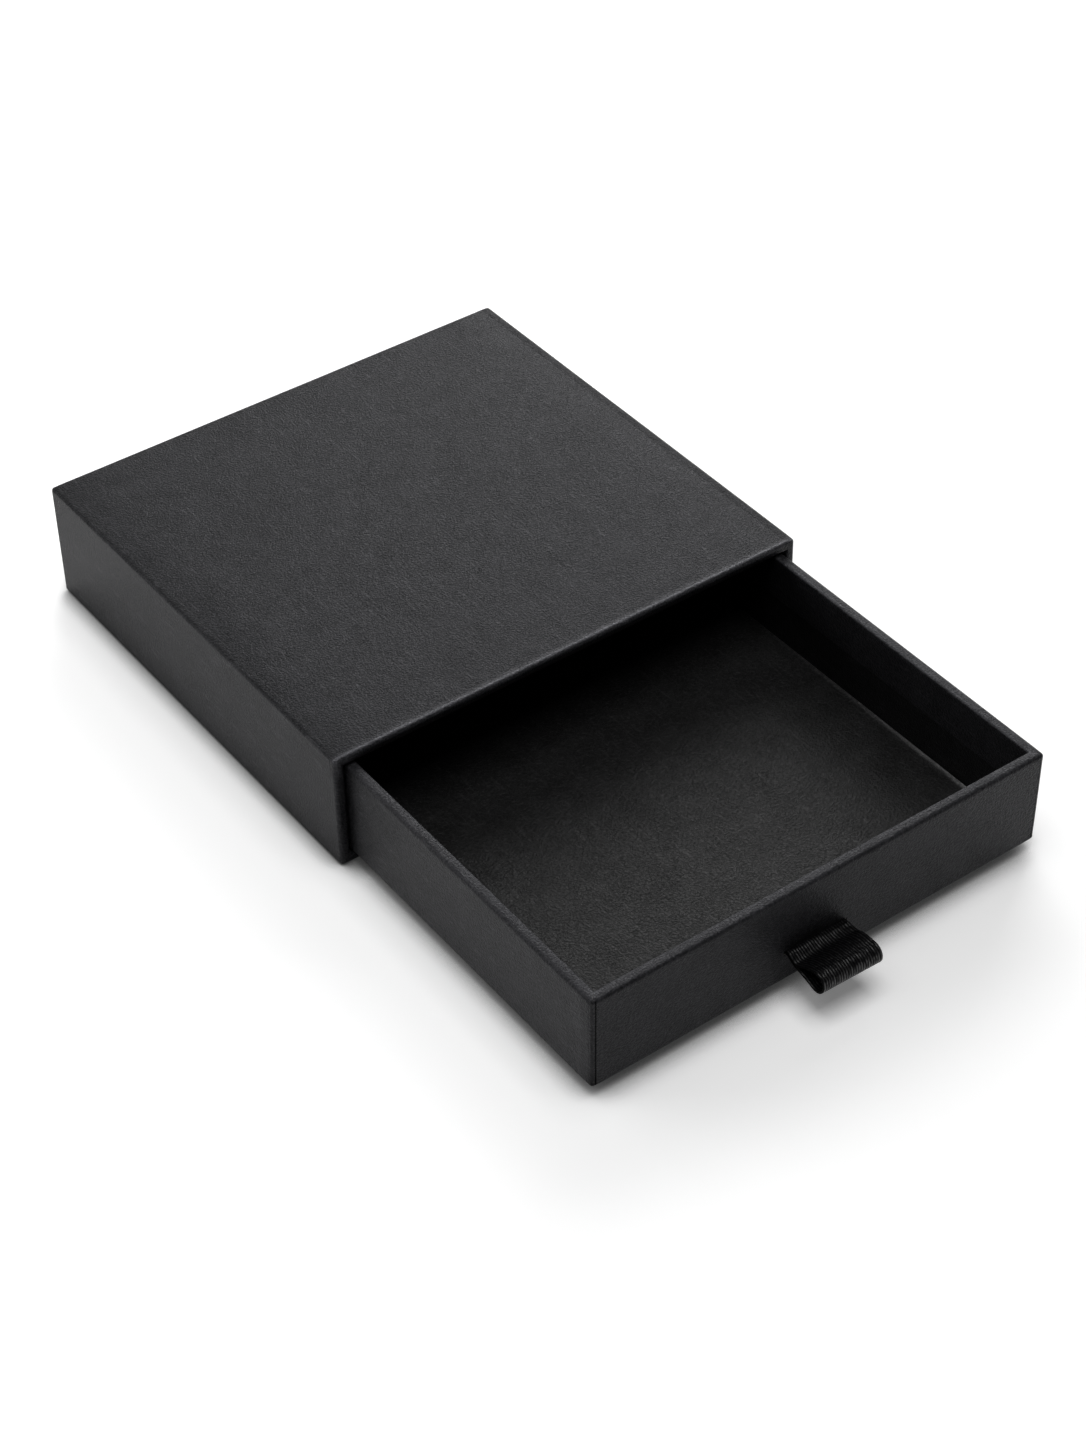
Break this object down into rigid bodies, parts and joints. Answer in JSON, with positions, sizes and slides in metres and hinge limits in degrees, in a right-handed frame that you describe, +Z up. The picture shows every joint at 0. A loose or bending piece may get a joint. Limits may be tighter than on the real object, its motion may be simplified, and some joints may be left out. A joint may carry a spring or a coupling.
{
  "type": "drawer gift box",
  "caption": "Rigid paperboard gift box: a shallow tray with a ribbon loop slides out of a paper-wrapped sleeve with a closed back.",
  "frame": {"origin": "middle of the sleeve's underside, on the surface that the box stands on", "axes": "+X to the right along the mouth, +Y into the sleeve away from the mouth, +Z up; the tray pulls out along -Y"},
  "size_m": [0.115, 0.1987, 0.028],
  "materials": {
    "covering_paper": "matte black uncoated fibrous paper",
    "lining_paper": "matte black lining paper",
    "floor_card": "matte black card",
    "greyboard": "raw greyboard",
    "stay_tape": "black gummed paper tape",
    "ribbon": "black ribbed satin ribbon"
  },
  "bodies": {
    "sleeve": {"sleeve_top_board": "greyboard", "sleeve_bottom_board": "greyboard", "sleeve_left_board": "greyboard", "sleeve_right_board": "greyboard", "sleeve_back_board": "greyboard", "sleeve_edge_tapes": "stay_tape", "sleeve_outer_wrap": "covering_paper", "sleeve_inner_lining": "lining_paper", "sleeve_bottom_sheet": "covering_paper", "sleeve_back_sheet": "covering_paper"},
    "tray": {"tray_base_board": "greyboard", "tray_front_board": "greyboard", "tray_back_board": "greyboard", "tray_left_board": "greyboard", "tray_right_board": "greyboard", "tray_corner_tapes": "stay_tape", "tray_outer_wrap": "covering_paper", "tray_inner_lining": "lining_paper", "tray_base_sheet": "covering_paper", "tray_floor_card": "floor_card", "ribbon_tails": "ribbon", "ribbon_anchor_tape": "stay_tape"},
    "ribbon": {"ribbon_loop": "ribbon"}
  },
  "joints": [
    {"name": "tray_slide", "type": "slide", "parent": "sleeve", "child": "tray", "axis": [0, -1, 0], "range_m": [-0.078, 0.02896]},
    {"name": "loop_lift", "type": "hinge", "parent": "tray", "child": "ribbon", "pos_m": [-0.0021, -0.13335, 0.01001], "axis": [-1, 0, 0], "range_deg": [0, 75]}
  ]
}
